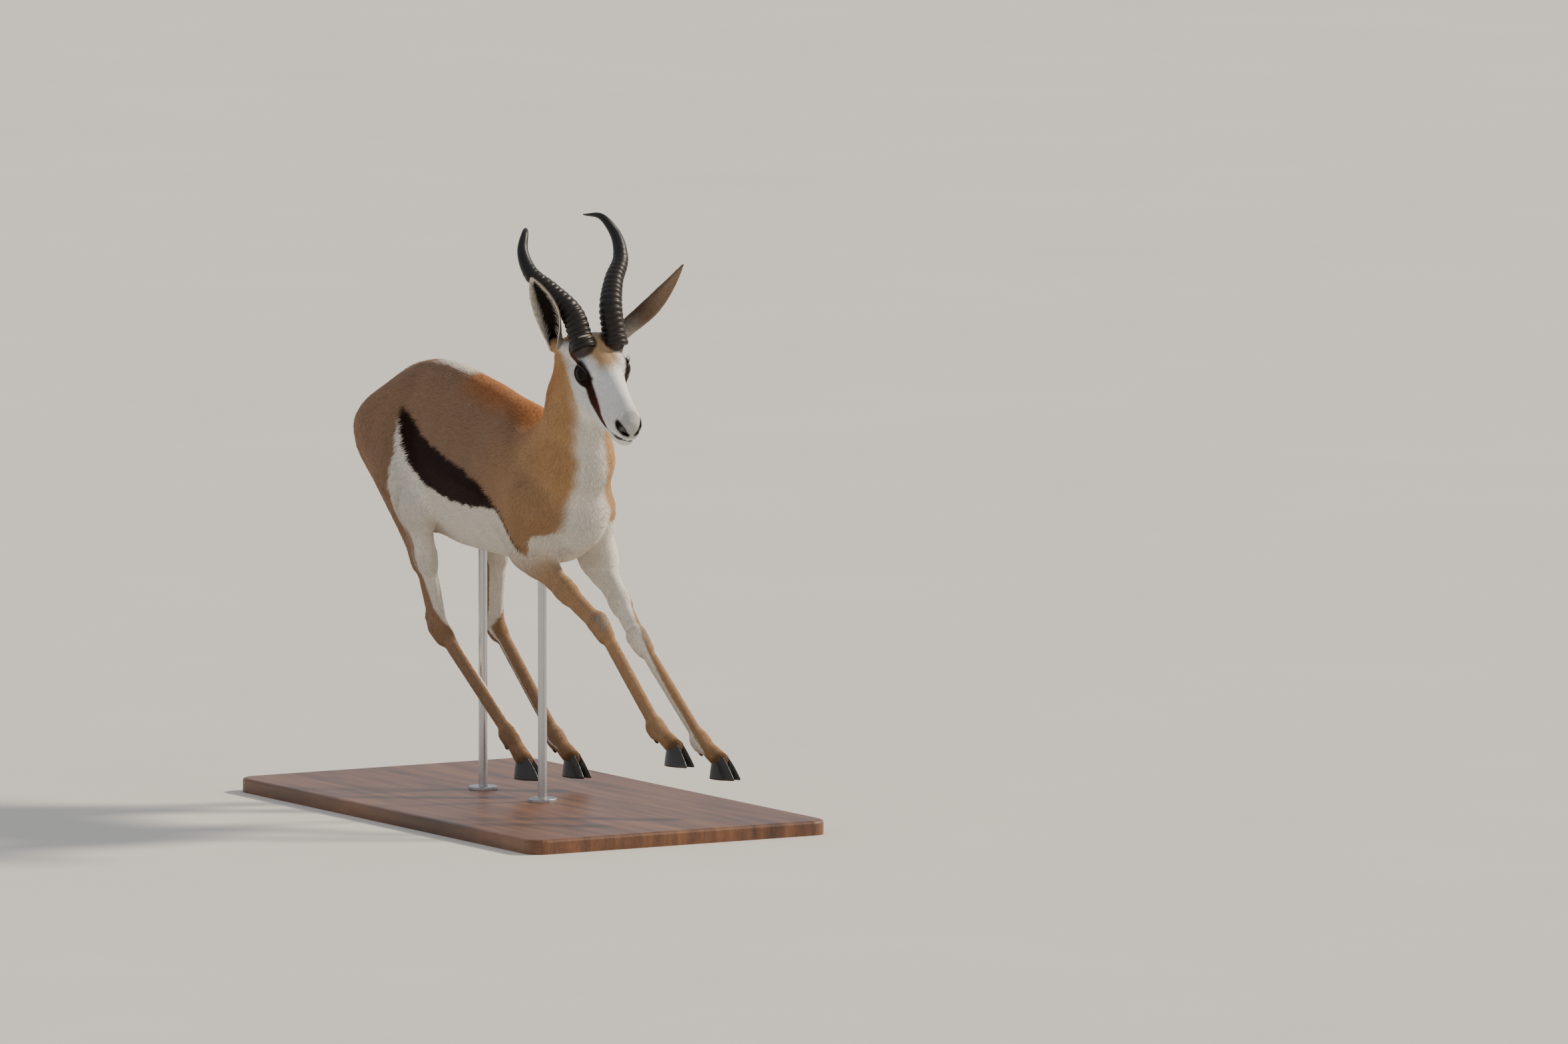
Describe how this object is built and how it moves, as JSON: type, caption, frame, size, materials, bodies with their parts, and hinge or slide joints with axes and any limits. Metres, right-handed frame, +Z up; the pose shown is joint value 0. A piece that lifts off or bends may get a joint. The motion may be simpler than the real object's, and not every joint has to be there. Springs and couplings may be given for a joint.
{
  "type": "springbok model on a stand",
  "caption": "Life-size springbok ram banking to its right in a low leap, its hooves just clear of the ground, held by slim rods over a flat display base.",
  "frame": {"origin": "middle of the display base's underside", "axes": "+X the way the trunk heads, +Y the animal's left, +Z up"},
  "size_m": [1.08, 0.6, 1.0898],
  "materials": {
    "coat_tan": "short hair",
    "coat_white": "short hair",
    "horn": "ridged horn, satin",
    "hoof": "satin horn",
    "eye": "glossy",
    "stand_wood": "satin varnish",
    "stand_steel": "brushed"
  },
  "bodies": {
    "root": {"ear_left": "coat_tan", "ear_right": "coat_tan", "eye_left": "eye", "eye_right": "eye", "foreleg_left_cannon": "coat_tan", "foreleg_left_pastern": "coat_tan", "foreleg_left_upper": "coat_tan", "foreleg_right_cannon": "coat_tan", "foreleg_right_pastern": "coat_tan", "foreleg_right_upper": "coat_tan", "head": "coat_tan", "hindleg_left_cannon": "coat_tan", "hindleg_left_pastern": "coat_tan", "hindleg_left_upper": "coat_tan", "hindleg_right_cannon": "coat_tan", "hindleg_right_pastern": "coat_tan", "hindleg_right_upper": "coat_tan", "hindquarters": "coat_tan", "hoof_fore_left_inner": "hoof", "hoof_fore_left_outer": "hoof", "hoof_fore_right_inner": "hoof", "hoof_fore_right_outer": "hoof", "hoof_hind_left_inner": "hoof", "hoof_hind_left_outer": "hoof", "hoof_hind_right_inner": "hoof", "hoof_hind_right_outer": "hoof", "horn_left": "horn", "horn_right": "horn", "neck": "coat_tan", "stand_base": "stand_wood", "stand_rod_front": "stand_steel", "stand_rod_rear": "stand_steel", "tail": "coat_white", "torso": "coat_tan"}
  },
  "joints": []
}
